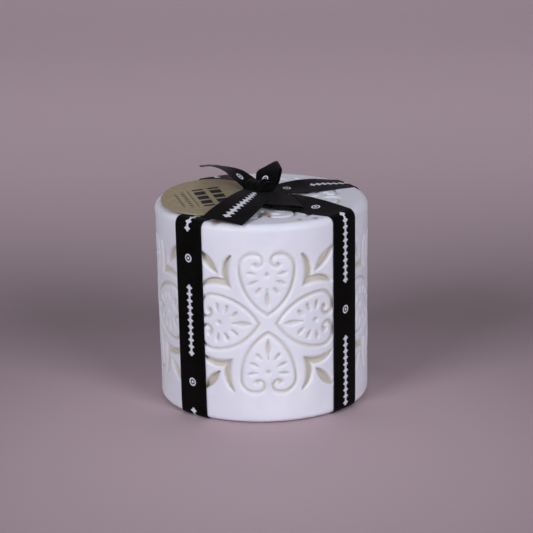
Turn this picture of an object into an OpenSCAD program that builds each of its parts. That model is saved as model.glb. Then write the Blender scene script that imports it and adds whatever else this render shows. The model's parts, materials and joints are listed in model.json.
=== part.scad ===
// Pillar candle with carved relief, gift-tied with satin ribbon and a round gold label.
// Millimetres, +Z up, origin on the floor under the candle's axis, -Y is the front.

/* [Candle] */
// Radius of the wax body at its shoulder
body_r = 38; // [34:0.5:46]
// How much smaller the radius is at the foot
foot_draft = 0.6; // [0:0.1:1]
// Height of the top of the wax above the floor
body_h = 72.2; // [66:0.2:90]
// Radius of the rounded shoulder
shoulder_r = 2.5; // [2:0.1:4]
// Radius of the rounded foot
foot_r = 1.8; // [1:0.1:2]
// Depth of the shallow dip that the wax leaves under the base
base_dip = 0.9; // [0.6:0.1:2]

/* [Relief] */
// Depth of the carved grooves and petals
relief_depth = 0.9; // [0.4:0.1:1.4]
// Width of a heart's outline groove
groove_w = 1.3; // [0.8:0.1:1.6]
// Height of the middle of each side panel
panel_z = 36.7; // [34:0.1:40]
// Distance of each heart's point from the middle of its panel
tip_gap = 3.2; // [2:0.1:4]
// How far the front panel is turned from -Y towards +X
relief_turn = 2.3; // [-5:0.1:5]
// Size of the top medallion beside a side panel
top_scale = 1.1; // [0.9:0.05:1.2]

/* [Wick] */
// Radius of the braided wick
wick_r = 1.0; // [0.7:0.1:1.5]
// Radius of the metal wick tab
tab_r = 6; // [5:0.5:8]
// Length of the wick's folded tip
tip_l = 3.2; // [2:0.1:3.4]

/* [Ribbon] */
// Width of the satin ribbon
ribbon_w = 12; // [10:0.5:15]
// Thickness of the ribbon
ribbon_t = 0.3; // [0.2:0.05:0.4]
// Clearance between neighbouring layers
gap = 0.05; // [0.03:0.01:0.08]
// Turn of the front left strap from -Y towards +X
turn_front_left = -42; // [-50:1:-35]
// Turn of the front right strap
turn_front_right = 50; // [42:1:56]
// Turn of the back right strap
turn_back_right = 119; // [115:1:145]
// Turn of the back left strap
turn_back_left = -152; // [-160:1:-130]
// Radius of the knot
knot_r = 5.2; // [4.5:0.1:5.5]

/* [Label] */
// Radius of the gold label
label_r = 17.7; // [15:0.1:18]
// Thickness of the label card
label_t = 0.35; // [0.25:0.05:0.5]
// Backward rise of the tilted label, in degrees
label_tilt = 6.5; // [4:0.5:8]

/* [Hidden] */
$fn = 72;

wax_colour = [0.93, 0.93, 0.95];
satin_colour = [0.06, 0.06, 0.05];
gold_colour = [0.66, 0.60, 0.45];
cotton_colour = [0.90, 0.87, 0.78];
tin_colour = [0.72, 0.73, 0.75];

wax_z = ribbon_t + gap;                 // underside of the wax, resting on the ribbon
foot_body_r = body_r - foot_draft;
strap_r = body_r - shoulder_r - 1.8;    // where a top strap meets the run over the shoulder
base_r = foot_body_r - foot_r - 1.6;    // where a base strap meets the run under the foot
dip_r = 30;
tab_recess = 1.6;
knot_z = 74.5;
knot_h = 3.4;
knot_at = [-0.6, -1.6];
label_at = [-17.8, -8.2, 74.85];

// A vertical leaf with two curved sides, its middle at the origin
leaf_cuts = 8;
function leaf_side(length, width, side) =
    [for (i = [0 : leaf_cuts - 1]) let (t = i / leaf_cuts)
        side * [width / 2 * sin(180 * t), (t - 0.5) * length]];
module leaf(length, width) { polygon(concat(leaf_side(length, width, 1), leaf_side(length, width, -1))); }

// One side of a heart that points down to the origin: a round lobe, then a large flank arc.
// grow moves the outline outwards, so two of them make the outline groove.
lobe_r = 4.95;
lobe_y = 16.9;
flank_r = (lobe_y * lobe_y + 4 * lobe_r * lobe_r) / (4 * lobe_r);
function arc(centre, r, from, to, n) =
    [for (i = [0 : n]) centre + r * [cos(from + (to - from) * i / n), sin(from + (to - from) * i / n)]];
function heart_side(grow) =
    let (notch = grow > 0 ? acos(-lobe_r / (lobe_r + grow)) : 176,
        flank_x = flank_r - 2 * lobe_r,
        tip = acos(flank_x / (flank_r + grow)))
    concat(arc([lobe_r, lobe_y], lobe_r + grow, notch, 8, 7),
        arc([-flank_x, lobe_y], flank_r + grow, -6, -tip, 5));
module heart(grow) {
    right = heart_side(grow);
    last = len(right) - 1;
    polygon(concat([for (p = right) if (p[0] > 0.01) p], [right[last]],
        [for (i = [last - 1 : -1 : 0]) if (right[i][0] > 0.01) [-right[i][0], right[i][1]]],
        grow > 0 ? [right[0]] : []));
}

// A crescent outside each of a heart's lobes
crescent_mid = [4, 15];
crescent_r = 11.2;
crescent_w = 2.4;
crescent_cuts = 8;
function crescent_edge(side, sign) =
    [for (i = [0 : crescent_cuts]) let (t = i / crescent_cuts, a = 142 + 54 * t,
        r = crescent_r + sign * crescent_w / 2 * sin(180 * t))
        [side * (crescent_mid[0] - r * cos(a)), crescent_mid[1] + r * sin(a)]];
module crescent(side) {
    inner = crescent_edge(side, -1);
    polygon(concat(crescent_edge(side, 1), [for (i = [crescent_cuts - 1 : -1 : 1]) inner[i]]));
}

// One quarter of the medallion, pointing up from the middle of a panel
module heart_motif() {
    translate([0, tip_gap]) {
        difference() {
            heart(groove_w / 2);
            heart(-groove_w / 2);
        }
        translate([0, 7]) leaf(7.4, 2);
        for (side = [-1, 1]) crescent(side);
    }
}

// The leaf in the panel's corner
module corner_leaf() { leaf(10.8, 3.4); }

// Cuts a motif radially into the side at arc distance u and height v from a panel's middle
module cut_side(u, v, turn) {
    rotate([0, 0, u / body_r * 180 / PI]) translate([0, -body_r + 4, panel_z + v])
        rotate([90, 0, 0]) linear_extrude(6) rotate(turn) children();
}

// Everything that is carved out of one side panel
heart_mid = 13.5;
corner_at = 21.7;
module side_panel() {
    for (quarter = [0 : 3]) {
        u = [0, -1, 0, 1][quarter] * heart_mid;
        v = [1, 0, -1, 0][quarter] * heart_mid;
        cut_side(u, v, 90 * quarter) translate([0, -heart_mid]) heart_motif();
        cut_side([-1, -1, 1, 1][quarter] * corner_at, [1, -1, -1, 1][quarter] * corner_at,
            45 + 90 * quarter) corner_leaf();
    }
}

module wax_profile() {
    shoulder = [body_r - shoulder_r, body_h - shoulder_r];
    foot = [foot_body_r - foot_r, wax_z + foot_r];
    polygon([[0, wax_z + base_dip], [dip_r, wax_z + base_dip], [dip_r + 2, wax_z], [foot[0], wax_z],
        [foot_body_r, foot[1]], [body_r, shoulder[1]], [shoulder[0], body_h], [0, body_h]]);
    translate(shoulder) circle(shoulder_r);
    translate(foot) circle(foot_r);
}

module wax_body() {
    color(wax_colour) difference() {
        rotate_extrude() wax_profile();
        difference() {
            for (panel = [0 : 3]) rotate([0, 0, relief_turn + 90 * panel]) side_panel();
            cylinder(r = body_r - foot_draft / 2 - relief_depth, h = 2 * body_h, center = true);
        }
        for (quarter = [0 : 3]) rotate([0, 0, relief_turn + 90 * quarter])
            translate([0, 0, body_h - relief_depth]) linear_extrude(relief_depth + 1)
                scale(top_scale) heart_motif();
        cylinder(r = wick_r + gap, h = body_h + 1);
        cylinder(r = tab_r + 0.3, h = wax_z + base_dip + tab_recess);
    }
}

// Braided wick: straight through the wax, its trimmed tip folded flat on the top
module wick() {
    color(cotton_colour) {
        translate([0, 0, wax_z + base_dip + 0.5]) cylinder(r = wick_r, h = body_h - wax_z - base_dip);
        translate([0, 0, body_h + wick_r + gap]) rotate([0, -90, 0]) cylinder(r = wick_r, h = tip_l);
        translate([0, 0, body_h + wick_r + gap]) sphere(wick_r);
    }
}

// Pressed tin tab with the collar that grips the wick's foot
module wick_tab() {
    tab_z = wax_z + base_dip + 0.4;
    color(tin_colour) difference() {
        union() {
            translate([0, 0, tab_z]) cylinder(r = tab_r, h = 0.4);
            translate([0, 0, tab_z]) cylinder(r = wick_r + 0.5, h = tab_recess - 0.5);
        }
        translate([0, 0, tab_z - 1]) cylinder(r = wick_r + gap, h = tab_recess + 2);
    }
}

// The label's plate, thicker by grow on every side
module label_plate(grow) {
    translate(label_at) rotate([label_tilt, 0, 0])
        cylinder(r = label_r + grow, h = label_t + 2 * grow, center = true);
}

module gold_label() { color(gold_colour) label_plate(0); }

// A line of points given its thickness, as a closed outline in the (distance, height) plane
function step_of(path, i) = path[min(i + 1, len(path) - 1)] - path[max(i - 1, 0)];
function up_of(path, i) = let (d = step_of(path, i)) [-d[1], d[0]] / norm(d);
function thick_line(path, t) = concat(
    [for (i = [0 : len(path) - 1]) path[i] + up_of(path, i) * t / 2],
    [for (i = [len(path) - 1 : -1 : 0]) path[i] - up_of(path, i) * t / 2]);

// The run of ribbon that wraps the shoulder, the side and the foot at one place
module side_run(turn) {
    lay = gap + ribbon_t / 2;
    spread = 2 * asin(ribbon_w / 2 / body_r);
    path = concat(
        [[base_r, ribbon_t / 2]],
        arc([foot_body_r - foot_r, wax_z + foot_r], foot_r + lay, -90, 0, 6),
        arc([body_r - shoulder_r, body_h - shoulder_r], shoulder_r + lay, 0, 90, 8),
        [[strap_r, body_h + lay]]);
    color(satin_colour) rotate([0, 0, turn - 90 - spread / 2])
        rotate_extrude(angle = spread) polygon(thick_line(path, ribbon_t));
}

module ribbon_side_front_left() { side_run(turn_front_left); }
module ribbon_side_front_right() { side_run(turn_front_right); }
module ribbon_side_back_right() { side_run(turn_back_right); }
module ribbon_side_back_left() { side_run(turn_back_left); }

// A strap on the top, from the shoulder run to the knot; rise lists heights above the wax
strap_steps = [1, 0.86, 0.6, 0.3, 0.1];
module top_strap(turn, rise) {
    lay = gap + ribbon_t / 2;
    path = [for (i = [0 : 4]) [strap_r * strap_steps[i] + 0.5 * (1 - i / 4), body_h + lay + rise[i]]];
    color(satin_colour) rotate([0, 0, turn - 90]) difference() {
        rotate([90, 0, 0]) linear_extrude(ribbon_w, center = true) polygon(thick_line(path, ribbon_t));
        cylinder(r = knot_r + gap, h = 2 * body_h);
        difference() {
            cylinder(r = body_r, h = 2 * body_h);
            cylinder(r = strap_r - gap, h = 2 * body_h);
        }
    }
}

module ribbon_top_front_left() { top_strap(turn_front_left, [0, 0, 0.3, 0.8, 1.1]); }
module ribbon_top_front_right() { top_strap(turn_front_right, [0, 0.2, 0.4, 0.5, 0.9]); }
module ribbon_top_back_right() { top_strap(turn_back_right, [0, 0.5, 1.2, 1.5, 1.7]); }
module ribbon_top_back_left() { top_strap(turn_back_left, [0, 0.3, 0.8, 1.4, 1.7]); }

// Under the base one ribbon lies flat and the other rides over it inside the dip
module ribbon_base_lower() {
    color(satin_colour) intersection() {
        for (turn = [turn_front_left, turn_back_right]) rotate([0, 0, turn - 90])
            translate([-1, -ribbon_w / 2, 0]) cube([body_r, ribbon_w, ribbon_t]);
        cylinder(r = base_r - gap, h = 2, center = true);
    }
}

module ribbon_base_upper() {
    lift = ribbon_t + gap;
    path = [[-1.5, lift], [7.5, lift], [11, 0], [body_r, 0]] + [for (i = [0 : 3]) [0, ribbon_t / 2]];
    color(satin_colour) intersection() {
        for (turn = [turn_front_right, turn_back_left]) rotate([0, 0, turn - 90]) rotate([90, 0, 0])
            linear_extrude(ribbon_w, center = true) polygon(thick_line(path, ribbon_t));
        cylinder(r = base_r - gap, h = 4, center = true);
    }
}

module ribbon_knot() {
    color(satin_colour) difference() {
        translate([knot_at[0], knot_at[1], knot_z + knot_h / 2]) rotate_extrude() {
            translate([knot_r - knot_h / 2, 0]) circle(knot_h / 2);
            translate([0, -knot_h / 2]) square([knot_r - knot_h / 2, knot_h]);
        }
        label_plate(gap);
    }
}

// Loose ribbon: each station is [middle of the ribbon, half-width vector to its second edge]
function bend(p, t) = let (n = len(p) - 1, i = min(floor(t), n - 1), u = t - i,
    a = p[max(i - 1, 0)], b = p[i], c = p[i + 1], d = p[min(i + 2, n)])
    b + 0.5 * u * ((c - a) + u * ((2 * a - 5 * b + 4 * c - d) + u * (3 * b - a - 3 * c + d)));
function across(a, b) = cross(a, b) / norm(cross(a, b));
module loose_ribbon(stations, cuts) {
    n = (len(stations) - 1) * cuts;
    mid = [for (i = [0 : n]) bend([for (s = stations) s[0]], i / cuts)];
    half = [for (i = [0 : n]) bend([for (s = stations) s[1]], i / cuts)];
    points = [for (i = [0 : n])
        let (run = mid[min(i + 1, n)] - mid[max(i - 1, 0)], up = across(run, half[i]) * ribbon_t / 2)
        each [mid[i] - half[i] - up, mid[i] + half[i] - up, mid[i] + half[i] + up, mid[i] - half[i] + up]];
    walls = [for (i = [0 : n - 1]) for (k = [0 : 3])
        each [[4 * i + k, 4 * i + 4 + k, 4 * i + (k + 1) % 4],
            [4 * i + (k + 1) % 4, 4 * i + 4 + k, 4 * i + 4 + (k + 1) % 4]]];
    color(satin_colour) polyhedron(points, concat([[0, 1, 2], [0, 2, 3]], walls,
        [[4 * n, 4 * n + 2, 4 * n + 1], [4 * n, 4 * n + 3, 4 * n + 2]]), convexity = 4);
}

module ribbon_loop_rear() {
    loose_ribbon([[[0.2, 0.5, 76.4], [1.8, -3.5, -0.6]], [[2, 2.6, 78.7], [3.2, -5, -1.1]],
        [[4.1, 4, 81], [2, -5.5, -0.4]], [[6, 4, 83.1], [0.9, -5.4, 0.1]],
        [[6.9, 3.4, 83.1], [0.7, -5.2, -0.2]], [[6.2, 4.2, 80.8], [0.9, -4.9, -0.8]],
        [[4.3, 3.5, 78.2], [1.8, -4.3, -0.9]], [[1.2, 1, 76], [1.8, -3.4, -0.4]]], 4);
}

module ribbon_loop_right() {
    loose_ribbon([[[0.9, -5.5, 75.3], [-0.2, 4.8, 0.3]], [[3.1, -12, 75.3], [0.9, 6.6, 0.5]],
        [[7.1, -14.1, 75.3], [0.4, 6.6, 0.5]], [[10.9, -15.1, 75.1], [-1, 6.6, 0.4]],
        [[13, -15.6, 74.5], [-1.9, 6, 0.4]], [[12.6, -15.9, 73.9], [-1.5, 6.4, 0.6]],
        [[8.6, -14.1, 73.7], [-1, 6.8, 0.6]], [[4.3, -12.4, 73.8], [-0.2, 6.6, 0.6]],
        [[1.5, -6.5, 74.2], [-0.3, 4.8, 0.4]]], 4);
}

module ribbon_tail_front() {
    loose_ribbon([[[-0.8, -4, 75.6], [-3.4, 2, 0.4]], [[-2.6, -11.2, 76.1], [-4.4, 3.9, 0.8]],
        [[-4.6, -17.4, 76], [-5.3, 4.2, 1]], [[-7.9, -24.6, 75.3], [-6.1, 3.4, 1.1]],
        [[-10.9, -30.3, 74.3], [-6.7, 3, 1]], [[-13.5, -35.2, 73.3], [-6.9, 2.9, 0.8]]], 4);
}

module ribbon_tail_rear() {
    loose_ribbon([[[-1, 0.5, 75.8], [0.8, 2.8, 1.2]], [[-4.3, 2, 77.4], [0.5, 4.2, 1.7]],
        [[-6.9, 3.5, 78.9], [0.2, 5.3, 1.4]], [[-10.3, 4.1, 80.9], [0.1, 5.7, 0.2]],
        [[-13.6, 4.3, 82.4], [-0.1, 5.9, -0.8]], [[-17.5, 4.6, 83.3], [-0.1, 5.8, -1.2]],
        [[-21.6, 4.6, 83.1], [-0.3, 5.6, -1.2]]], 4);
}

wax_body();
wick();
wick_tab();
gold_label();
ribbon_side_front_left();
ribbon_side_front_right();
ribbon_side_back_right();
ribbon_side_back_left();
ribbon_top_front_left();
ribbon_top_front_right();
ribbon_top_back_right();
ribbon_top_back_left();
ribbon_base_lower();
ribbon_base_upper();
ribbon_knot();
ribbon_loop_rear();
ribbon_loop_right();
ribbon_tail_front();
ribbon_tail_rear();
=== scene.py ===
# %% [markdown]
# # A gift-tied pillar candle
# The candle is a cast wax body with carved panels, tied both ways with one satin ribbon that ends
# in a bow, and a round gold label is tucked under the bow. The imported model already holds every
# size and place, so this file only gives each piece its true surface. It starts by loading that
# model and keeping its box.

# %% Load the fixed frame
import json
from math import acos, cos, pi, radians, sin

import bpy
import numpy as np
from mathutils import Matrix, Vector

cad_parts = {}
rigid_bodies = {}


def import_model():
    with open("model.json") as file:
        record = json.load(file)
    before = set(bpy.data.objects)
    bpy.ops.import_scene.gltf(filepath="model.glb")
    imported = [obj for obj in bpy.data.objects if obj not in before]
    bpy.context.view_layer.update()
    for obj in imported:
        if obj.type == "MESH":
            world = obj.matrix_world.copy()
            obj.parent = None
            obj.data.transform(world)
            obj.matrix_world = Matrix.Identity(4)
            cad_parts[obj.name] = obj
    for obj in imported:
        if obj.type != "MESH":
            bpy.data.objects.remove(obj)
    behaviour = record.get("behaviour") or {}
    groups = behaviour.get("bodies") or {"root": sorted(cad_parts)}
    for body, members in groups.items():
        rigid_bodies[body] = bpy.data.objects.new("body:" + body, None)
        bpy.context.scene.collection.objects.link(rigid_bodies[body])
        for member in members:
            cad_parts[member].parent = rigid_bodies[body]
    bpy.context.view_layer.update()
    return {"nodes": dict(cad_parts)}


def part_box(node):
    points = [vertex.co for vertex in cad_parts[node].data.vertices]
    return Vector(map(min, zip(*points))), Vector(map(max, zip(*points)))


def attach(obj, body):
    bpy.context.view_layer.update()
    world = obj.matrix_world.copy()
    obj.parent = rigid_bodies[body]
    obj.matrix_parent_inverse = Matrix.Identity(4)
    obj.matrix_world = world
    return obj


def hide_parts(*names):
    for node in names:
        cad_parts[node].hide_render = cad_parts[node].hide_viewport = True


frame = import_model()
MM = 0.001
wax_low, wax_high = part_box("wax_body")
BODY_R = (wax_high.x - wax_low.x) / 2 / MM
BODY_TOP = wax_high.z / MM
BODY_FOOT = wax_low.z / MM
print(f"wax body: radius {BODY_R:.1f} mm, from {BODY_FOOT:.2f} to {BODY_TOP:.1f} mm")

# %% [markdown]
# ## Small helpers
# A piece made from a grid gets all its points at once from numpy, which is quick, and its
# outside is checked by recalculating the normals.


# %% Helpers for new pieces
def alone(piece):
    """Makes piece the only selected and active object."""
    bpy.ops.object.select_all(action="DESELECT")
    piece.select_set(True)
    bpy.context.view_layer.objects.active = piece


def new_grid(name, across, along):
    """A flat grid, with the position of each point as two numbers from 0 to 1."""
    bpy.ops.object.select_all(action="DESELECT")
    bpy.ops.mesh.primitive_grid_add(x_subdivisions=across, y_subdivisions=along, size=1)
    piece = bpy.context.object
    piece.name = name
    piece.data.name = name
    flat = np.zeros(len(piece.data.vertices) * 3)
    piece.data.vertices.foreach_get("co", flat)
    flat = flat.reshape(-1, 3)
    return piece, flat[:, 0] + 0.5, flat[:, 1] + 0.5


def place_points(piece, points_mm):
    """Moves every point of piece to its place, given in millimetres."""
    piece.data.vertices.foreach_set("co", (np.asarray(points_mm) * MM).ravel())
    piece.data.update()


def points_of(piece):
    """Every point of piece, in millimetres."""
    flat = np.zeros(len(piece.data.vertices) * 3)
    piece.data.vertices.foreach_get("co", flat)
    return flat.reshape(-1, 3) / MM


def edit(piece, *steps):
    """Runs edit-mode operators, each a function without arguments, on the whole of piece."""
    alone(piece)
    bpy.ops.object.mode_set(mode="EDIT")
    bpy.ops.mesh.select_all(action="SELECT")
    for step in steps:
        step()
    bpy.ops.object.mode_set(mode="OBJECT")


def merge_seams():
    bpy.ops.mesh.remove_doubles(threshold=0.002 * MM)


def face_outwards():
    bpy.ops.mesh.normals_make_consistent(inside=False)


def add_modifier(piece, kind, **settings):
    """Adds a modifier with its settings and applies it."""
    alone(piece)
    modifier = piece.modifiers.new(kind.title(), kind)
    for key, value in settings.items():
        setattr(modifier, key, value)
    bpy.ops.object.modifier_apply(modifier=modifier.name)


def triangles(piece):
    return sum(len(face.vertices) - 2 for face in piece.data.polygons)


def wear(piece, *materials):
    """Gives piece its materials, in the order of its slots."""
    piece.data.materials.clear()
    for material in materials:
        piece.data.materials.append(material)


def put_in(piece, slot, *nodes):
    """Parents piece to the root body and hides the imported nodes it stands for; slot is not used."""
    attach(piece, "root")
    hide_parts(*nodes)


# %% [markdown]
# ## Shader helpers
# A material is a small graph of nodes. These helpers add a node and join it in one line, so each
# finish below reads as a recipe. What more than one finish needs becomes a node group.


# %% Helpers for materials
class Graph:
    """A node tree with short ways to add and join its nodes."""

    def __init__(self, tree):
        self.tree = tree

    def node(self, kind, **settings):
        made = self.tree.nodes.new(kind)
        for key, value in settings.items():
            setattr(made, key, value)
        return made

    def join(self, source, target):
        self.tree.links.new(source, target)

    def feed(self, socket, value):
        """Joins value to a socket if it is a socket itself, and otherwise sets it."""
        if isinstance(value, bpy.types.NodeSocket):
            self.join(value, socket)
        else:
            socket.default_value = value

    def math(self, operation, *values, clamp=False):
        made = self.node("ShaderNodeMath", operation=operation, use_clamp=clamp)
        for socket, value in zip(made.inputs, values):
            self.feed(socket, value)
        return made.outputs[0]

    def mix(self, factor, first, second):
        made = self.node("ShaderNodeMix", data_type="RGBA")
        self.feed(made.inputs["Factor"], factor)
        self.feed(made.inputs[6], first)
        self.feed(made.inputs[7], second)
        return made.outputs[2]

    def noise(self, vector, scale, detail=3.0, roughness=0.5):
        made = self.node("ShaderNodeTexNoise")
        self.join(vector, made.inputs["Vector"])
        made.inputs["Scale"].default_value = scale
        made.inputs["Detail"].default_value = detail
        made.inputs["Roughness"].default_value = roughness
        return made.outputs["Fac"]

    def ramp(self, value, low, high, out_low=0.0, out_high=1.0):
        made = self.node("ShaderNodeMapRange", interpolation_type="SMOOTHSTEP")
        for name, number in (("Value", value), ("From Min", low), ("From Max", high),
                             ("To Min", out_low), ("To Max", out_high)):
            self.feed(made.inputs[name], number)
        return made.outputs["Result"]

    def bump(self, height, strength, distance):
        made = self.node("ShaderNodeBump")
        self.feed(made.inputs["Height"], height)
        made.inputs["Strength"].default_value = strength
        made.inputs["Distance"].default_value = distance
        return made.outputs["Normal"]


def new_material(name):
    """A node material, its graph and its Principled BSDF."""
    material = bpy.data.materials.new(name)
    material.use_nodes = True
    graph = Graph(material.node_tree)
    return material, graph, material.node_tree.nodes["Principled BSDF"]


def new_group(name, inputs, outputs):
    """A shader node group, its graph, its input sockets by name and its output node."""
    tree = bpy.data.node_groups.new(name, "ShaderNodeTree")
    for label, kind, value in inputs:
        socket = tree.interface.new_socket(label, in_out="INPUT", socket_type=kind)
        if value is not None:
            socket.default_value = value
    for label, kind in outputs:
        tree.interface.new_socket(label, in_out="OUTPUT", socket_type=kind)
    graph = Graph(tree)
    entry = graph.node("NodeGroupInput")
    leave = graph.node("NodeGroupOutput")
    return tree, graph, entry.outputs, leave.inputs


def use_group(graph, tree, **values):
    """Places a group in a material with its own values."""
    made = graph.node("ShaderNodeGroup", node_tree=tree)
    for label, value in values.items():
        graph.feed(made.inputs[label.replace("_", " ")], value)
    return made.outputs


# %% [markdown]
# ## Floor, light and camera
# A pale sweep of floor that curves up into a backdrop gives no horizon. Two equal soft lights stand
# to the left and right of the camera, so their shadows fall behind the candle on both sides. A weak
# light from above lifts the top, and a wide one lights the upper backdrop. The camera is a long
# lens from a little above.

# %% Camera
CAMERA_AT = Vector((0.0, -795.6, 279.1)) * MM
CAMERA_DOWN = radians(16.29)
CAMERA_TURN = radians(0.11)
CAMERA_ROLL = radians(-1.09)
camera_data = bpy.data.cameras.new("camera")
camera_data.sensor_width = 36.0
camera_data.lens = 155.5
camera_data.clip_start = 0.01
camera = bpy.data.objects.new("camera", camera_data)
bpy.context.scene.collection.objects.link(camera)
camera.matrix_world = (
    Matrix.Translation(CAMERA_AT)
    @ Matrix.Rotation(-CAMERA_TURN, 4, "Z")
    @ Matrix.Rotation(pi / 2 - CAMERA_DOWN, 4, "X")
    @ Matrix.Rotation(CAMERA_ROLL, 4, "Z")
)
bpy.context.scene.camera = camera

# %% Floor that curves up into a backdrop
FLOOR_COLOUR = (0.487, 0.37, 0.38, 1.0)
floor_mat, g, floor_bsdf = new_material("floor_paper")
floor_grain = g.noise(g.node("ShaderNodeTexCoord").outputs["Object"], 900.0)
g.join(g.bump(floor_grain, 0.05, 0.0004), floor_bsdf.inputs["Normal"])
# painted pool of light: the paper is painted lighter where the beams meet in front of the candle, and
# darker further out
light_pool = g.node("ShaderNodeVectorMath", operation="DISTANCE")
g.join(g.node("ShaderNodeTexCoord").outputs["Object"], light_pool.inputs[0])
light_pool.inputs[1].default_value = (0.0, -0.06, 0.0)
FLOOR_SHADED = tuple(0.72 * c for c in FLOOR_COLOUR[:3]) + (1.0,)
FLOOR_LIT = tuple(1.12 * c for c in FLOOR_COLOUR[:3]) + (1.0,)
floor_painted_light = g.mix(g.ramp(light_pool.outputs["Value"], 0.03, 0.19), FLOOR_LIT, FLOOR_SHADED)
g.join(floor_painted_light, floor_bsdf.inputs["Base Color"])
floor_bsdf.inputs["Roughness"].default_value = 0.75
FLOOR_HALF, FLOOR_FRONT, SWEEP_Y, SWEEP_R, WALL_TOP = 2000.0, -1500.0, 700.0, 500.0, 2200.0
sweep, across, along = new_grid("floor_sweep", 2, 60)
run = FLOOR_FRONT + along * (SWEEP_Y - FLOOR_FRONT + SWEEP_R * pi / 2 + WALL_TOP)
angle = np.clip((run - SWEEP_Y) / SWEEP_R, 0, pi / 2)
rest = np.maximum(run - SWEEP_Y - SWEEP_R * pi / 2, 0)
place_points(sweep, np.stack([
    (across - 0.5) * 2 * FLOOR_HALF,
    np.minimum(run, SWEEP_Y) + SWEEP_R * np.sin(angle),
    SWEEP_R * (1 - np.cos(angle)) + rest], 1))
wear(sweep, floor_mat)
alone(sweep)
bpy.ops.object.shade_smooth()


# %% Lights
def area_light(name, at_mm, aim_mm, size, watts, colour):
    data = bpy.data.lights.new(name, "AREA")
    data.shape = "RECTANGLE"
    data.size, data.size_y = size
    data.energy = watts
    data.color = colour
    lamp = bpy.data.objects.new(name, data)
    bpy.context.scene.collection.objects.link(lamp)
    lamp.location = Vector(at_mm) * MM
    lamp.rotation_euler = (Vector(aim_mm) - Vector(at_mm)).to_track_quat("-Z", "Y").to_euler()
    return lamp


STUDIO_WHITE = (0.86, 0.88, 1.0)
area_light("left", (-750, -900, 550), (0, 0, 40), (0.5, 0.5), 8.4, STUDIO_WHITE)
area_light("right", (700, -950, 500), (0, 0, 40), (0.5, 0.5), 8.2, STUDIO_WHITE)
area_light("top", (0, 100, 1000), (0, 0, 40), (0.8, 0.8), 1.4, STUDIO_WHITE)
area_light("backdrop", (0, 250, 600), (0, 1150, 350), (1.2, 0.3), 6.6, STUDIO_WHITE)
world = bpy.data.worlds.new("studio")
world.use_nodes = True
world.node_tree.nodes["Background"].inputs["Color"].default_value = (*STUDIO_WHITE, 1.0)
world.node_tree.nodes["Background"].inputs["Strength"].default_value = 0.09
bpy.context.scene.world = world
bpy.context.scene.view_settings.view_transform = "Standard"

# %% [markdown]
# ## Wax
# Candle wax is soft white, a little translucent, and its surface is satin rather than glossy.
# Light that enters it comes out nearby, which rounds every carved edge, so it gets subsurface
# scattering. The carved floors are painted warmer and darker than the skin as painted shade, for
# the shade and the warm light through the wax in the hollows, so the mesh carries how deep each
# point is, as an attribute that the colour reads.

# %% Wax finish
wax_mat, g, wax_bsdf = new_material("candle_wax")
coords = g.node("ShaderNodeTexCoord").outputs["Object"]
depth = g.node("ShaderNodeAttribute", attribute_name="carved").outputs["Fac"]
ribbon_shade = g.node("ShaderNodeAttribute", attribute_name="ribbon_shade").outputs["Fac"]
clouds = g.noise(coords, 55.0, 4.0, 0.6)
skin = g.mix(g.ramp(clouds, 0.3, 0.7), (0.80, 0.80, 0.84, 1), (0.86, 0.86, 0.89, 1))
# painted shade: the deeper a point is carved, the nearer its colour is to a warm grey-beige
carved = g.mix(g.ramp(depth, 0.05, 0.9), skin, (0.64, 0.59, 0.49, 1))
# painted shade: warm dark patches where the wax lies in the shadow of the ribbons
ribbon_shaded = g.mix(ribbon_shade, carved, (0.30, 0.16, 0.03, 1))
g.join(ribbon_shaded, wax_bsdf.inputs["Base Color"])
grain = g.noise(coords, 900.0, 3.0, 0.6)
swell = g.noise(coords, 160.0, 2.0, 0.5)
relief_height = g.math("ADD", g.math("MULTIPLY", grain, 0.25), swell)
g.join(g.bump(relief_height, 0.25, 0.0003), wax_bsdf.inputs["Normal"])
g.join(g.ramp(clouds, 0.2, 0.8, 0.42, 0.55), wax_bsdf.inputs["Roughness"])
wax_bsdf.inputs["Subsurface Weight"].default_value = 0.35
wax_bsdf.inputs["Subsurface Radius"].default_value = (1.0, 0.85, 0.7)
wax_bsdf.inputs["Subsurface Scale"].default_value = 0.0012
wax_bsdf.inputs["IOR"].default_value = 1.43

# %% [markdown]
# ## The carving
# Each panel holds a medallion of four hearts whose points meet in the middle. Every heart is an
# incised line that curls into a scroll at each lobe and holds a fan of petals, and crescents and
# leaves fill the corners. The pattern is the same in all eight mirrored parts, so one formula
# works out the depth at a point after folding it into the first eighth.

# %% Depth of the carving
LOBE = np.array([4.95, 20.1])
LOBE_R = 4.95
FLANK_R = 19.37
FLANK = np.array([2 * LOBE_R - FLANK_R, LOBE[1]])
SCROLL = np.array([3.75, 22.5])
LINE_HALF = 0.95
LINE_DEPTH = 0.95
CRESCENT = np.array([4.0, 18.2])
CRESCENT_R, CRESCENT_HALF = 10.65, 1.85
LEAF_LONG, LEAF_HALF = 10.8, 2.05


def arc(centre, radii, start, end, count):
    """Points along an arc, or a spiral where the two radii differ; angles are in degrees."""
    t = np.linspace(0, 1, count)
    turn = np.radians(start + (end - start) * t)
    radius = radii[0] + (radii[1] - radii[0]) * t ** 1.5
    return np.asarray(centre) + radius[:, None] * np.stack([np.cos(turn), np.sin(turn)], 1)


flank_start = -np.degrees(acos(-FLANK[0] / FLANK_R))
heart_line = np.concatenate([
    arc(FLANK, (FLANK_R, FLANK_R), flank_start, 0, 24),
    arc(LOBE, (LOBE_R, LOBE_R), 4, 96, 16),
    arc(SCROLL, (2.45, 1.5), 95, 305, 20),
])


def distance_to_line(x, y, line):
    """Distance of each point to a line of straight pieces."""
    best = np.full(x.shape, 99.0)
    for (ax, ay), (bx, by) in zip(line[:-1], line[1:]):
        dx, dy = bx - ax, by - ay
        t = np.clip(((x - ax) * dx + (y - ay) * dy) / (dx * dx + dy * dy), 0, 1)
        best = np.minimum(best, np.hypot(x - ax - t * dx, y - ay - t * dy))
    return best


def soft_step(value):
    value = np.clip(value, 0, 1)
    return value * value * (3 - 2 * value)


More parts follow.
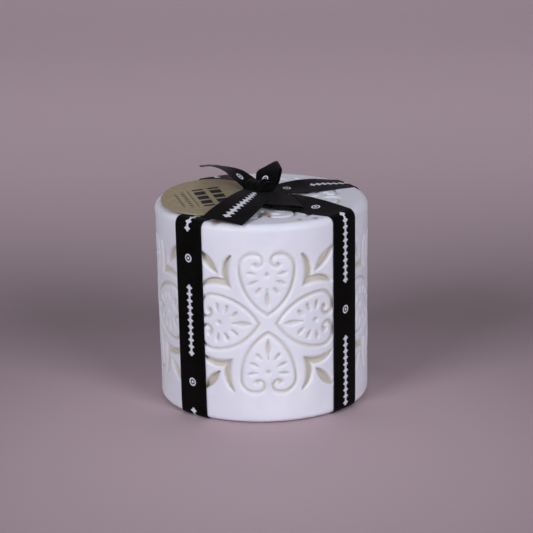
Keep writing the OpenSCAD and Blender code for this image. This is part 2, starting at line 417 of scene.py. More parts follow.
def petal(x, y, at, turn, length, width, depth):
    """A drop-shaped hollow: wide near its outer end, pointed at its inner end."""
    a, b = cos(radians(turn)), sin(radians(turn))
    t = ((x - at[0]) * a + (y - at[1]) * b) / length + 0.5
    side = np.abs(-(x - at[0]) * b + (y - at[1]) * a)
    half = width / 2 * np.sin(pi * np.clip(t, 0, 1) ** 1.3) + 1e-6
    return np.where((t > 0) & (t < 1), depth * soft_step((1 - side / half) * 1.6), 0)


def carving(u, v):
    """Depth in mm at each place, u and v mm from the middle of a panel."""
    x = np.minimum(np.abs(u), np.abs(v))
    y = np.maximum(np.abs(u), np.abs(v))
    depth = LINE_DEPTH * soft_step((1 - distance_to_line(x, y, heart_line) / LINE_HALF) * 1.15)
    ball = np.hypot(x - 4.1, y - 21.3)
    depth = np.maximum(depth, 1.0 * soft_step((1 - ball / 1.25) * 1.6))
    stud = np.abs(x) * 1.1 + np.abs(y - 17.7)
    depth = np.maximum(depth, 0.8 * soft_step((1 - stud / 1.4) * 1.8))
    for at, turn, length, width in (((0, 9.3), -90, 7.4, 2.5), ((5.5, 18.2), 6, 3.6, 1.8),
                                    ((5.0, 14.9), -24, 3.8, 1.8), ((3.2, 12.0), -50, 3.8, 1.8)):
        depth = np.maximum(depth, petal(x, y, at, turn, length, width, 0.9))
    # crescents follow the outer side of each lobe and are deepest at their outer edge
    away = np.hypot(x - CRESCENT[0], y - CRESCENT[1])
    turn = np.degrees(np.arctan2(y - CRESCENT[1], x - CRESCENT[0]))
    t = (turn + 36) / 74
    half = CRESCENT_HALF * np.sin(pi * np.clip(t, 0, 1)) ** 0.6 + 1e-6
    rise = (away - CRESCENT_R + half) / (2 * half)
    hollow = 1.7 * soft_step(rise * 1.4) * soft_step((1 - rise) * 5)
    depth = np.maximum(depth, np.where((t > 0) & (t < 1), hollow, 0))
    # the corner leaf lies on the diagonal and is deepest along its outer side
    along = (np.abs(u) + np.abs(v) - 43.4) / 2 ** 0.5
    side = (np.abs(v) - np.abs(u)) / 2 ** 0.5
    t = along / LEAF_LONG + 0.5
    half = LEAF_HALF * np.sin(pi * np.clip(t, 0, 1)) ** 0.8 + 1e-6
    rise = (side + half) / (2 * half)
    hollow = 1.7 * soft_step(rise * 2.2) * soft_step((1 - rise) * 5)
    return np.maximum(depth, np.where((t > 0) & (t < 1) & (np.abs(side) < half), hollow, 0))


# %% [markdown]
# ## The wax body
# The real body is one casting, so it is one closed mesh. A grid is wrapped round the axis: one
# direction runs round the candle, the other follows the profile from the wick tab's recess,
# across the dip under the base, up the side, over the shoulder and in to the wick. The carving
# then sinks each point along the surface's own direction. Rows and columns lie close together where
# the carving is, and further apart on plain wax.

# %% Wax body
FOOT_R = 1.8
SHOULDER_R = 2.5
FOOT_BODY_R = BODY_R - 0.6
DIP = 0.9
RECESS_R, RECESS_TOP = 6.3, 2.85
PANEL_Z = 36.7
PANEL_HALF = 26.0
RELIEF_TURN = radians(2.3)
TOP_SCALE = 1.1
WICK_HOLE = 1.05


def profile(side_step, top_step):
    """The body's outline as (radius, height, which face): 0 plain, 1 side, 2 top."""
    foot_mid = (FOOT_BODY_R - FOOT_R, BODY_FOOT + FOOT_R)
    shoulder_mid = (BODY_R - SHOULDER_R, BODY_TOP - SHOULDER_R)
    rows = [(0.0, RECESS_TOP, 0), (RECESS_R - 0.3, RECESS_TOP, 0), (RECESS_R, RECESS_TOP - 0.3, 0),
            (RECESS_R, BODY_FOOT + DIP, 0), (18.0, BODY_FOOT + DIP, 0), (30.0, BODY_FOOT + DIP, 0),
            (31.0, BODY_FOOT + 0.5, 0), (32.0, BODY_FOOT, 0)]
    rows += [(*p, 0) for p in arc(foot_mid, (FOOT_R, FOOT_R), -90, 0, 7)]
    low, high = PANEL_Z - PANEL_HALF, PANEL_Z + PANEL_HALF
    heights = np.concatenate([np.linspace(foot_mid[1] + 1.2, low - 1.2, 5),
                              np.arange(low, high, side_step),
                              np.linspace(high + 1, shoulder_mid[1] - 0.8, 5)])
    spread = BODY_R - FOOT_BODY_R
    height_range = shoulder_mid[1] - foot_mid[1]
    rows += [(FOOT_BODY_R + spread * (z - foot_mid[1]) / height_range, z, 1) for z in heights]
    rows += [(*p, 0) for p in arc(shoulder_mid, (SHOULDER_R, SHOULDER_R), 0, 90, 9)]
    rows += [(r, BODY_TOP, 2) for r in np.arange(shoulder_mid[0] - 0.4, WICK_HOLE + 0.4, -top_step)]
    rows += [(WICK_HOLE, BODY_TOP, 0), (WICK_HOLE, BODY_TOP - 1.0, 0), (0.0, BODY_TOP - 1.0, 0)]
    return np.array(rows)


def columns(plain, carved):
    """Turns of the grid's columns: per quarter, a few on plain wax and many over the panel."""
    quarter_half = BODY_R * pi / 4
    local = np.concatenate([np.linspace(-quarter_half, -PANEL_HALF, plain + 1)[:-1],
                            np.linspace(-PANEL_HALF, PANEL_HALF, carved + 1)[:-1],
                            np.linspace(PANEL_HALF, quarter_half, plain + 1)[:-1]]) / BODY_R
    full = np.concatenate([local + k * pi / 2 for k in range(4)])
    return np.append(full, full[0] + 2 * pi) + RELIEF_TURN


outline = profile(0.42, 0.56)
spokes = columns(4, 104)
body, around, up = new_grid("wax_body_carved", len(spokes) - 1, len(outline) - 1)
row = np.rint(up * (len(outline) - 1)).astype(int)
turn = spokes[np.rint(around * (len(spokes) - 1)).astype(int)]
radius, height, face = outline[row, 0], outline[row, 1], outline[row, 2]
# how far round from the middle of the nearest panel, as an arc in mm
panel_turn = (turn - pi / 2 - RELIEF_TURN + pi / 4) % (pi / 2) - pi / 4
side_depth = carving(panel_turn * BODY_R, height - PANEL_Z) * (face == 1)
top_x = radius * np.cos(turn - RELIEF_TURN) / TOP_SCALE
top_y = radius * np.sin(turn - RELIEF_TURN) / TOP_SCALE
top_depth = 0.75 * carving(top_x, top_y) * (face == 2) * soft_step((34.0 - radius) / 1.5)
# cast wax isn't perfectly round, and its skin waves a little
wave = (0.09 * np.sin(3 * turn + 1) + 0.06 * np.sin(7 * turn + 0.12 * height)
        + 0.05 * np.sin(0.35 * height + 4 * turn))
radius = radius - side_depth + wave * (face == 1)
height = height - top_depth
place_points(body, np.stack([radius * np.cos(turn), radius * np.sin(turn), height], 1))
edit(body, merge_seams, face_outwards)
alone(body)
bpy.ops.object.shade_smooth()
print("wax body:", len(body.data.vertices), "points,", triangles(body), "triangles")

# %% Depth and painted shade beside the ribbons as attributes
places = points_of(body)
reach = np.hypot(places[:, 0], places[:, 1])
on_side = (places[:, 2] > BODY_FOOT + FOOT_R) & (places[:, 2] < BODY_TOP - SHOULDER_R)
wall_r = FOOT_BODY_R + (BODY_R - FOOT_BODY_R) * places[:, 2] / BODY_TOP
sunk = np.where(on_side & (reach > 30), wall_r - reach, 0)
sunk = np.where((reach < 35) & (places[:, 2] > BODY_TOP - 3), BODY_TOP - places[:, 2], sunk)
carved_data = body.data.attributes.new("carved", "FLOAT", "POINT")
carved_data.data.foreach_set("value", np.clip(sunk / 1.4, 0, 1))
# painted shade: warm dark patches on the top beside the ribbons, where the wax lies in their shadow;
# place and size in mm
RIBBON_SHADE_PATCHES = (((-15.5, -32.0), 2.4), ((1.5, -23.0), 3.4), ((13.2, -31.0), 1.2), ((18.6, -29.5), 1.4))
ribbon_shade_amount = np.zeros(len(places))
for (mark_x, mark_y), size in RIBBON_SHADE_PATCHES:
    near = np.hypot(places[:, 0] - mark_x, places[:, 1] - mark_y)
    ribbon_shade_amount = np.maximum(ribbon_shade_amount, 0.75 * soft_step((1 - near / size) * 1.5))
ribbon_shade_amount *= places[:, 2] > BODY_TOP - 1.9
ribbon_shade_data = body.data.attributes.new("ribbon_shade", "FLOAT", "POINT")
ribbon_shade_data.data.foreach_set("value", ribbon_shade_amount)
wear(body, wax_mat)
put_in(body, "wax", "wax_body")

# %% [markdown]
# ## Satin ribbon
# Satin is woven so that long threads float on its face, which gives a soft, streaky gloss along
# its length, and a narrow selvedge firms each edge. The black is lightened in random streaks as a
# painted sheen, and along each edge as a painted highlight where the selvedge catches light. White
# marks are printed on the face at an even repeat: a ring round a dot, then a line of lozenges and
# studs. The print is worked out from the ribbon's own UV map, so it follows every fold, and the
# back of the ribbon stays plain.

# %% Print on the ribbon, as a node group
RIBBON_W = 12.0
REPEAT = 45.5
print_tree, g, entry, leave = new_group(
    "ribbon_print", [("UV", "NodeSocketVector", None), ("Width", "NodeSocketFloat", RIBBON_W),
                     ("Repeat", "NodeSocketFloat", REPEAT)],
    [("Ink", "NodeSocketFloat"), ("Edge", "NodeSocketFloat"), ("Threads", "NodeSocketFloat")])
split = g.node("ShaderNodeSeparateXYZ")
g.join(entry["UV"], split.inputs[0])
b = g.math("MULTIPLY", g.math("SUBTRACT", split.outputs["X"], 0.5), entry["Width"])
cycle = g.math("SUBTRACT", g.math("FRACT", g.math("ADD", split.outputs["Y"], 100.5)), 0.5)
a = g.math("MULTIPLY", cycle, entry["Repeat"])
# a plain ring round a dot, once in every repeat
RING_R, RING_HALF, DOT_R = 1.25, 0.27, 0.5
from_mark = g.math("SQRT", g.math("ADD", g.math("MULTIPLY", a, a), g.math("MULTIPLY", b, b)))
ring = g.math("LESS_THAN", g.math("ABSOLUTE", g.math("SUBTRACT", from_mark, RING_R)), RING_HALF)
ink = g.math("MAXIMUM", ring, g.math("LESS_THAN", from_mark, DOT_R))
# halfway between two rings lies the middle of the line of lozenges, one to a cell
half_cycle = g.math("SUBTRACT", g.math("FRACT", g.math("ADD", split.outputs["Y"], 100.0)), 0.5)
other = g.math("MULTIPLY", half_cycle, entry["Repeat"])
CELL, LOZENGE_LONG, LOZENGE_TALL, STUD_R, LINE_CELLS = 2.4, 1.1, 1.45, 0.62, 11
in_cell = g.math("FRACT", g.math("ADD", g.math("DIVIDE", other, CELL), 50.5))
cell = g.math("ABSOLUTE", g.math("MULTIPLY", g.math("SUBTRACT", in_cell, 0.5), CELL))
tall = g.math("ABSOLUTE", b)
lozenge = g.math("ADD", g.math("DIVIDE", cell, LOZENGE_LONG), g.math("DIVIDE", tall, LOZENGE_TALL))
lozenge = g.math("LESS_THAN", lozenge, 1.0)
stud = g.math("LESS_THAN", g.math("ADD", g.math("SUBTRACT", CELL / 2, cell), tall), STUD_R)
line = g.math("MAXIMUM", lozenge, stud)
line_ends = LINE_CELLS * CELL / 2 - 0.1
line = g.math("MULTIPLY", line, g.math("LESS_THAN", g.math("ABSOLUTE", other), line_ends))
g.join(g.math("MAXIMUM", ink, line), leave["Ink"])
from_edge = g.math("SUBTRACT", g.math("DIVIDE", entry["Width"], 2.0), tall)
edge_near = g.ramp(from_edge, 0.25, 0.75, 1.0, 0.0)
g.join(edge_near, leave["Edge"])
WEFT_PITCH, WARP_PITCH = 0.28, 0.22
wefts = g.math("SINE", g.math("MULTIPLY", split.outputs["Y"], 2 * pi * REPEAT / WEFT_PITCH))
warps = g.math("SINE", g.math("MULTIPLY", b, 2 * pi / WARP_PITCH))
g.join(g.math("ADD", g.math("MULTIPLY", wefts, 0.35), warps), leave["Threads"])


# %% Satin finish, printed and plain
BLACK_DEEP = (0.0022, 0.0020, 0.0018, 1)
BLACK_PAINTED_SHEEN = (0.0040, 0.0037, 0.0034, 1)
BLACK_EDGE_HIGHLIGHT = (0.0055, 0.0053, 0.0050, 1)
WHITE_INK = (0.72, 0.72, 0.75, 1)


def satin(name, printed):
    material, graph, bsdf = new_material(name)
    uv = graph.node("ShaderNodeUVMap", uv_map="ribbon").outputs["UV"]
    marks = use_group(graph, print_tree, UV=uv)
    object_at = graph.node("ShaderNodeTexCoord").outputs["Object"]
    streak = graph.noise(object_at, 140.0, 3.0, 0.6)
    # painted sheen: the black is lightened in random streaks to stand in for the satin's gloss
    black = graph.mix(graph.ramp(streak, 0.3, 0.7), BLACK_DEEP, BLACK_PAINTED_SHEEN)
    # painted highlight: the black is lighter along each edge, where the raised selvedge catches light
    black = graph.mix(marks["Edge"], black, BLACK_EDGE_HIGHLIGHT)
    if printed:
        black = graph.mix(marks["Ink"], black, WHITE_INK)
        bare = graph.ramp(streak, 0.2, 0.8, 0.34, 0.46)
        rough = graph.math("MULTIPLY_ADD", marks["Ink"], 0.2, bare)
        graph.join(rough, bsdf.inputs["Roughness"])
    else:
        graph.join(graph.ramp(streak, 0.2, 0.8, 0.38, 0.5), bsdf.inputs["Roughness"])
    graph.join(black, bsdf.inputs["Base Color"])
    ridge = graph.math("MULTIPLY_ADD", marks["Edge"], 2.0, marks["Threads"])
    graph.join(graph.bump(ridge, 0.25, 0.00004), bsdf.inputs["Normal"])
    bsdf.inputs["Specular IOR Level"].default_value = 0.2
    bsdf.inputs["IOR"].default_value = 1.15
    bsdf.inputs["Sheen Weight"].default_value = 0.02
    bsdf.inputs["Anisotropic"].default_value = 0.4
    return material


satin_face = satin("satin_printed", True)
satin_back = satin("satin_plain", False)

# %% [markdown]
# ## Laying the ribbon
# A ribbon bends easily along its length, but hardly across its width. Each run is described by a
# few stations: the middle of the ribbon, and the vector from there to its right-hand edge. A
# smooth curve runs through the stations, a thin grid follows it, and Solidify gives the cloth
# its thickness. The UV map holds the place across the width and the distance along the print.


# %% A run of ribbon
RIBBON_T = 0.26
# how far along its path a ribbon looks for the direction it runs in
AHEAD = 0.4


def through(values, count):
    """A smooth curve through the given values, sampled at count places (Catmull-Rom)."""
    values = np.asarray(values, float)
    t = np.linspace(0, len(values) - 1, count)
    i = np.minimum(t.astype(int), len(values) - 2)
    u = (t - i)[:, None]
    p = [values[np.clip(i + k, 0, len(values) - 1)] for k in (-1, 0, 1, 2)]
    return p[1] + 0.5 * u * ((p[2] - p[0]) + u * (
        (2 * p[0] - 5 * p[1] + 4 * p[2] - p[3]) + u * (3 * p[1] - p[0] - 3 * p[2] + p[3])))


def lay_ribbon(name, stations, mark_at, nodes, crown=0.0, smooth_path=True,
               hug=None):
    """A run of satin. mark_at is the distance in mm from the start to a printed ring."""
    mids = np.array([s[0] for s in stations], float)
    halves = np.array([s[1] for s in stations], float)
    if smooth_path:
        count = 12 * (len(stations) - 1) + 1
        mids, halves = through(mids, count), through(halves, count)
    steps = np.linalg.norm(np.diff(mids, axis=0), axis=1)
    travel = np.concatenate([[0], np.cumsum(steps)])
    rows = max(int(travel[-1] / 0.55), 16)
    piece, across, along = new_grid(name, 14, rows)
    q = (across - 0.5) * 2
    where = along * travel[-1]
    mid = np.stack([np.interp(where, travel, mids[:, k]) for k in range(3)], 1)
    half = np.stack([np.interp(where, travel, halves[:, k]) for k in range(3)], 1)
    ahead = np.stack([np.interp(where + AHEAD, travel, mids[:, k])
                      - np.interp(where - AHEAD, travel, mids[:, k]) for k in range(3)], 1)
    up = np.cross(half, ahead)
    up /= np.linalg.norm(up, axis=1)[:, None] + 1e-9
    lift = crown * (1 - q ** 2)
    points = mid + half * q[:, None] + up * lift[:, None]
    if hug is not None:
        points = hug(points)
    place_points(piece, points)
    layer = piece.data.uv_layers.new(name="ribbon")
    corners = np.zeros(len(piece.data.loops), int)
    piece.data.loops.foreach_get("vertex_index", corners)
    uv = np.stack([across, (where - mark_at) / REPEAT], 1)[corners]
    layer.data.foreach_set("uv", uv.ravel())
    for other in [l for l in piece.data.uv_layers if l.name != "ribbon"]:
        piece.data.uv_layers.remove(other)
    wear(piece, satin_face, satin_back)
    # the face of the ribbon is on the side that up points to
    normal = np.zeros(len(piece.data.polygons) * 3)
    piece.data.polygons.foreach_get("normal", normal)
    if (normal.reshape(-1, 3).mean(0) @ up.mean(0)) < 0:
        edit(piece, bpy.ops.mesh.flip_normals)
    add_modifier(piece, "SOLIDIFY", thickness=RIBBON_T * MM, offset=0.0, material_offset=1,
                 material_offset_rim=1)
    alone(piece)
    bpy.ops.object.shade_smooth_by_angle(angle=radians(50))
    put_in(piece, "satin", *nodes)
    print(f"{name}: {travel[-1]:.1f} mm long, {triangles(piece)} triangles")
    return piece


# %% [markdown]
# ## Four straps
# Each strap starts at the knot, runs out over the top, bends over the shoulder, goes down the
# side and turns under the foot to the crossing below. The ribbon is stiff across its width, so
# on the round side it stands almost flat and only partly follows the curve of the wax.

# %% Straps
TURN = {"front_left": -42.0, "front_right": 50.0, "back_right": 119.0, "back_left": -152.0}
CLEAR = 0.25
KNOT_OUT = 3.2
# at these fractions of the way from the knot to the shoulder, each strap's height above the wax,
# how far its left edge is raised beside its middle, and how far it runs to the right of the radius
STRAP_AT = (0.0, 0.3, 0.5, 0.7, 0.85, 1.0)
STRAP_RISE = {
    "front_left": (1.2, 0.9, 0.6, 0.35, 0.2, 0.15),
    "front_right": (1.3, 1.3, 1.3, 1.1, 0.75, 0.25),
    "back_right": (2.2, 1.6, 1.6, 1.2, 0.6, 0.15),
    "back_left": (2.0, 1.6, 1.1, 0.7, 0.4, 0.15),
}
STRAP_ROLL = {
    "front_left": (0.0, 0.0, 0.0, 0.0, 0.0, 0.0),
    "front_right": (0.6, 1.0, 1.15, 0.95, 0.6, 0.12),
    "back_right": (0.4, 0.6, 0.85, 0.7, 0.35, 0.05),
    "back_left": (0.0, 0.0, 0.0, 0.0, 0.0, 0.0),
}
STRAP_ASIDE = {
    "front_left": (0.0, 0.0, 0.0, 0.0, 0.0, 0.0),
    "front_right": (1.5, 2.2, 2.2, 2.0, 1.4, 0.4),
    "back_right": (-0.5, -0.9, -0.7, -0.9, -1.1, -0.6),
    "back_left": (0.0, 0.0, 0.0, 0.0, 0.0, 0.0),
}
MARK_AT = {"front_left": 47.8, "front_right": 23.3, "back_right": 8.0, "back_left": 20.0}


def strap_path(key):
    """Distance from the axis and height of the strap's middle, from the knot to the base."""
    shoulder_mid = (BODY_R - SHOULDER_R, BODY_TOP - SHOULDER_R)
    foot_mid = (FOOT_BODY_R - FOOT_R, BODY_FOOT + FOOT_R)
    outs = np.linspace(0, 1, 22)
    rise = np.interp(outs, STRAP_AT, STRAP_RISE[key])
    top = [(KNOT_OUT + (shoulder_mid[0] - KNOT_OUT) * o, BODY_TOP + r) for o, r in zip(outs, rise)]
    bend_out = arc(shoulder_mid, (SHOULDER_R + CLEAR, SHOULDER_R + CLEAR), 80, 0, 9)
    side = [(BODY_R + CLEAR + (FOOT_BODY_R - BODY_R) * t,
             shoulder_mid[1] + (foot_mid[1] - shoulder_mid[1]) * t)
            for t in np.linspace(0.04, 0.96, 40)]
    bend_in = arc(foot_mid, (FOOT_R + 0.18, FOOT_R + 0.18), 0, -90, 9)
    return np.array(top + list(bend_out) + side + list(bend_in) + [(32.0, BODY_FOOT - 0.18)])


def strap(key):
    path = strap_path(key)
    turn = radians(TURN[key] - 90)
    out = np.array([cos(turn), sin(turn), 0])
    # seen from the knot looking out, the right-hand edge lies clockwise from the middle
    right = np.array([sin(turn), -cos(turn), 0])
    stations = []
    for distance, height in path:
        t = min(max((distance - KNOT_OUT) / (BODY_R - KNOT_OUT), 0), 1)
        on_top = height > BODY_TOP - 0.2
        o = min(t * (BODY_R - KNOT_OUT) / (BODY_R - SHOULDER_R - KNOT_OUT), 1)
        roll = np.interp(o, STRAP_AT, STRAP_ROLL[key]) if on_top else 0.0
        aside = np.interp(o, STRAP_AT, STRAP_ASIDE[key])
        gather = 0.55 + 0.45 * min(t / 0.3, 1) if on_top else 1.0
        half = right * RIBBON_W / 2 * gather + np.array([0, 0, -roll])
        stations.append((out * distance + right * aside + np.array([0, 0, height]), half))

    def hug(points):
        """Bends the part beside the wax a little way round it, as a stiff ribbon does."""
        outward = points @ out
        sideways = points @ right
        grip = soft_step((outward - 30) / 6)
        drop = sideways ** 2 / (2 * BODY_R) * 0.75 * grip
        return points - out * drop[:, None]

    return lay_ribbon(f"ribbon_strap_{key}", stations, MARK_AT[key],
                      [f"ribbon_top_{key}", f"ribbon_side_{key}"], smooth_path=False, hug=hug)


for key in TURN:
    strap(key)

# %% Straps that cross under the base
LOW_Z = 0.16
OVER_Z = 0.5


def base_strap(name, first, second, middle_z, node):
    ends = [np.array([cos(radians(TURN[k] - 90)), sin(radians(TURN[k] - 90))]) for k in (first, second)]
    stations = []
    for t in np.linspace(0, 1, 25):
        reach = 32.4
        place = (1 - t) ** 2 * ends[0] * reach + t ** 2 * ends[1] * reach
        ahead = -2 * (1 - t) * ends[0] + 2 * t * ends[1]
        ahead /= np.linalg.norm(ahead)
        near = 1 - soft_step((np.hypot(*place) - 8) / 5)
        height = LOW_Z + (middle_z - LOW_Z) * near
        half = (-ahead[1] * RIBBON_W / 2, ahead[0] * RIBBON_W / 2, 0)
        stations.append(((place[0], place[1], height), half))
    return lay_ribbon(name, stations, 10.0, [node], smooth_path=False)


base_strap("ribbon_under_lower", "front_left", "back_right", LOW_Z, "ribbon_base_lower")
base_strap("ribbon_under_upper", "front_right", "back_left", OVER_Z, "ribbon_base_upper")

# %% [markdown]
# ## The bow
# The bow is small and loose. One loop stands up behind the knot, the other lies folded to the
# right, one tail falls over the label to the front, and the other curls up to the left and turns
# edge on. They are free runs of the same ribbon, so each has its own listed stations.

# %% Loops and tails
lay_ribbon("ribbon_bow_loop_rear", [
    ((0.2, 0.5, 76.4), (1.8, -3.5, -0.6)), ((2.0, 2.6, 78.7), (3.2, -5.0, -1.1)),
    ((4.1, 4.0, 81.0), (2.0, -5.5, -0.4)), ((6.0, 4.0, 83.1), (0.9, -5.4, 0.1)),
    ((6.9, 3.4, 83.1), (0.7, -5.2, -0.2)), ((6.2, 4.2, 80.8), (0.9, -4.9, -0.8)),
    ((4.3, 3.5, 78.2), (1.8, -4.3, -0.9)), ((1.2, 1.0, 76.0), (1.8, -3.4, -0.4))], 3.0,
    ["ribbon_loop_rear"], crown=0.1)
lay_ribbon("ribbon_bow_loop_right", [
    ((0.9, -5.5, 75.3), (-0.2, 4.8, 0.3)), ((3.1, -12.0, 75.3), (0.9, 6.6, 0.5)),
    ((7.1, -14.1, 75.3), (0.4, 6.6, 0.5)), ((10.9, -15.1, 75.1), (-1.0, 6.6, 0.4)),
    ((13.0, -15.6, 74.5), (-1.9, 6.0, 0.4)), ((12.6, -15.9, 73.9), (-1.5, 6.4, 0.6)),
    ((8.6, -14.1, 73.7), (-1.0, 6.8, 0.6)), ((4.3, -12.4, 73.8), (-0.2, 6.6, 0.6)),
    ((1.5, -6.5, 74.2), (-0.3, 4.8, 0.4))], 17.0, ["ribbon_loop_right"])
lay_ribbon("ribbon_bow_tail_front", [
    ((-0.8, -4.0, 75.6), (-3.4, 2.0, 0.4)), ((-2.6, -11.2, 76.1), (-4.4, 3.9, 0.8)),
    ((-4.6, -17.4, 76.0), (-5.3, 4.2, 1.0)), ((-7.9, -24.6, 75.3), (-6.1, 3.4, 1.1)),
    ((-10.9, -30.3, 74.3), (-6.7, 3.0, 1.0)), ((-13.5, -35.2, 73.3), (-6.9, 2.9, 0.8))], 41.0,
    ["ribbon_tail_front"], crown=0.3)
lay_ribbon("ribbon_bow_tail_rear", [
    ((-1.0, 0.5, 75.8), (0.8, 2.8, 1.2)), ((-4.3, 2.0, 77.4), (0.5, 4.2, 1.7)),
    ((-6.9, 3.5, 78.9), (0.2, 5.3, 1.4)), ((-10.3, 4.1, 80.9), (0.1, 5.7, 0.2)),
    ((-13.6, 4.3, 82.4), (-0.1, 5.9, -0.8)), ((-17.5, 4.6, 83.3), (-0.1, 5.8, -1.2)),
    ((-21.6, 4.6, 83.1), (-0.3, 5.6, -1.2))], 8.0, ["ribbon_tail_rear"])

# %% [markdown]
# ## The knot
# Pulled tight, the ribbon gathers into pleats that wrap over a small hard lump. A sphere is
# squashed to the knot's size, and its points are moved in and out in a few folds that all run
# the same way over the top, as gathered cloth does.

# %% Knot
knot_low, knot_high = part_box("ribbon_knot")
KNOT_MID = np.array([-0.6, -1.6, (knot_low.z + knot_high.z) / 2 / MM + 0.3])
KNOT_SIZE = np.array([5.6, 5.4, 3.0])
bpy.ops.object.select_all(action="DESELECT")
bpy.ops.mesh.primitive_uv_sphere_add(segments=96, ring_count=48, radius=1)
knot = bpy.context.object
knot.name = "ribbon_bow_knot"
ball = points_of(knot) * MM
wrap = np.arctan2(ball[:, 2], ball[:, 1] + 0.35 * ball[:, 0])
lie = ball[:, 0] * 0.94 - ball[:, 1] * 0.34
pleats = 0.075 * np.sin(7.5 * lie + 0.8 * np.sin(wrap * 2)) + 0.05 * np.sin(15 * lie + 2.2 * wrap)
pinch = 1 - 0.24 * soft_step(1 - np.abs(lie + 0.1) * 2.2)
ball *= (pinch * (1 + pleats))[:, None]
place_points(knot, ball * KNOT_SIZE + KNOT_MID)
edit(knot, face_outwards)
knot_uv = knot.data.uv_layers.active
knot_uv.name = "ribbon"
alone(knot)
bpy.ops.object.shade_smooth()
wear(knot, satin_back)
put_in(knot, "satin", "ribbon_knot")
print("knot:", triangles(knot), "triangles")

# %% [markdown]
# ## The gold label
# The label is a disc of thin card with a satin champagne-gold face and black print: two rows of
# blocks, a thin rule and two rows of small dots stand for its lettering. It leans on the straps,
# so its back edge is higher than its front, and it bends a little under the ribbon.

# %% Label finish
label_low, label_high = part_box("gold_label")
LABEL_R = (label_high.x - label_low.x) / 2 / MM
LABEL_MID = np.array([(label_low.x + label_high.x) / 2, (label_low.y + label_high.y) / 2,
                      (label_low.z + label_high.z) / 2]) / MM
LABEL_TILT = radians(6.5)
gold_mat, g, gold_bsdf = new_material("gold_card")
split = g.node("ShaderNodeSeparateXYZ")
g.join(g.node("ShaderNodeUVMap", uv_map="label").outputs["UV"], split.inputs[0])
lx, ly = split.outputs["X"], split.outputs["Y"]


def block_row(middle, half, period, fill, extent):
    """A row of printed blocks along x, at height middle."""
    inside = g.math("LESS_THAN", g.math("ABSOLUTE", g.math("SUBTRACT", ly, middle)), half)
    cycle = g.math("FRACT", g.math("ADD", g.math("DIVIDE", lx, period), 50.5))
    step = g.math("ABSOLUTE", g.math("SUBTRACT", cycle, 0.5))
    solid = g.math("LESS_THAN", step, fill / 2)
    short = g.math("LESS_THAN", g.math("ABSOLUTE", lx), extent)
    return g.math("MULTIPLY", g.math("MULTIPLY", inside, solid), short)


ink = block_row(3.2, 2.0, 4.4, 0.74, 8.5)
for row_args in ((-2.6, 2.0, 4.4, 0.74, 8.5), (-6.4, 0.14, 1.0, 2.0, 8.2), (-8.6, 0.6, 1.9, 0.42, 7.6),
                 (-11.2, 0.4, 1.1, 0.5, 6.6)):
    ink = g.math("MAXIMUM", ink, block_row(*row_args))
fibre = g.noise(g.node("ShaderNodeTexCoord").outputs["Object"], 700.0, 4.0, 0.6)
foil = g.mix(g.ramp(fibre, 0.3, 0.7), (0.45, 0.385, 0.225, 1), (0.545, 0.475, 0.29, 1))
g.join(g.mix(ink, foil, (0.012, 0.011, 0.010, 1)), gold_bsdf.inputs["Base Color"])
g.join(g.ramp(fibre, 0.2, 0.8, 0.42, 0.55), gold_bsdf.inputs["Roughness"])
g.join(g.math("MULTIPLY", g.math("SUBTRACT", 1.0, ink), 0.55), gold_bsdf.inputs["Metallic"])
g.join(g.bump(fibre, 0.15, 0.00006), gold_bsdf.inputs["Normal"])

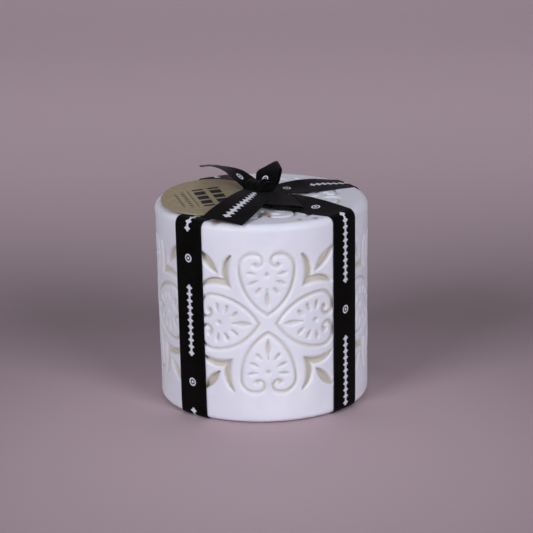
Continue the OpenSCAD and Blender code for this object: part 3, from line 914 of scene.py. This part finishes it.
# %% Label
LABEL_T = 0.35
LABEL_TURN = radians(-73)
label, around, out = new_grid("gold_label_disc", 96, 24)
turn = around * 2 * pi
reach = out * (LABEL_R - 0.1)
flat_x, flat_y = reach * np.cos(turn), reach * np.sin(turn)
bow = -0.35 * (flat_x / LABEL_R) ** 2
place_points(label, np.stack([
    LABEL_MID[0] + flat_x,
    LABEL_MID[1] + flat_y * cos(LABEL_TILT),
    LABEL_MID[2] + flat_y * sin(LABEL_TILT) + bow + 0.1], 1))
layer = label.data.uv_layers.active or label.data.uv_layers.new(name="label")
layer.name = "label"
corners = np.zeros(len(label.data.loops), int)
label.data.loops.foreach_get("vertex_index", corners)
print_x = flat_x * cos(LABEL_TURN) + flat_y * sin(LABEL_TURN)
print_y = -flat_x * sin(LABEL_TURN) + flat_y * cos(LABEL_TURN)
layer.data.foreach_set("uv", np.stack([print_x, print_y], 1)[corners].ravel())
edit(label, merge_seams, face_outwards)
if label.data.polygons[0].normal.z < 0:
    edit(label, bpy.ops.mesh.flip_normals)
add_modifier(label, "SOLIDIFY", thickness=LABEL_T * MM, offset=0.0)
add_modifier(label, "BEVEL", width=0.05 * MM, segments=2, limit_method="ANGLE", angle_limit=radians(60))
alone(label)
bpy.ops.object.shade_smooth_by_angle(angle=radians(40))
wear(label, gold_mat)
put_in(label, "gold_card", "gold_label")

# %% [markdown]
# ## Wick and tab
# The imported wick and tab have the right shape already, so they only need their finishes: braided
# cotton stiffened with wax, and pressed tinplate.

# %% Cotton and tin
cotton_mat, g, cotton_bsdf = new_material("braided_cotton")
place = g.node("ShaderNodeTexCoord").outputs["Object"]
strands = g.node("ShaderNodeTexWave", wave_type="BANDS", bands_direction="DIAGONAL")
g.join(place, strands.inputs["Vector"])
strands.inputs["Scale"].default_value = 600.0
strands.inputs["Distortion"].default_value = 1.5
cotton_tone = g.mix(strands.outputs["Fac"], (0.55, 0.50, 0.38, 1), (0.80, 0.77, 0.68, 1))
g.join(cotton_tone, cotton_bsdf.inputs["Base Color"])
g.join(g.bump(strands.outputs["Fac"], 0.6, 0.0002), cotton_bsdf.inputs["Normal"])
cotton_bsdf.inputs["Roughness"].default_value = 0.8
wear(frame["nodes"]["wick"], cotton_mat)

tin_mat, g, tin_bsdf = new_material("pressed_tin")
spangle = g.noise(g.node("ShaderNodeTexCoord").outputs["Object"], 500.0, 4.0, 0.6)
g.join(g.mix(spangle, (0.52, 0.53, 0.55, 1), (0.68, 0.69, 0.70, 1)), tin_bsdf.inputs["Base Color"])
g.join(g.ramp(spangle, 0.2, 0.8, 0.28, 0.5), tin_bsdf.inputs["Roughness"])
tin_bsdf.inputs["Metallic"].default_value = 1.0
wear(frame["nodes"]["wick_tab"], tin_mat)
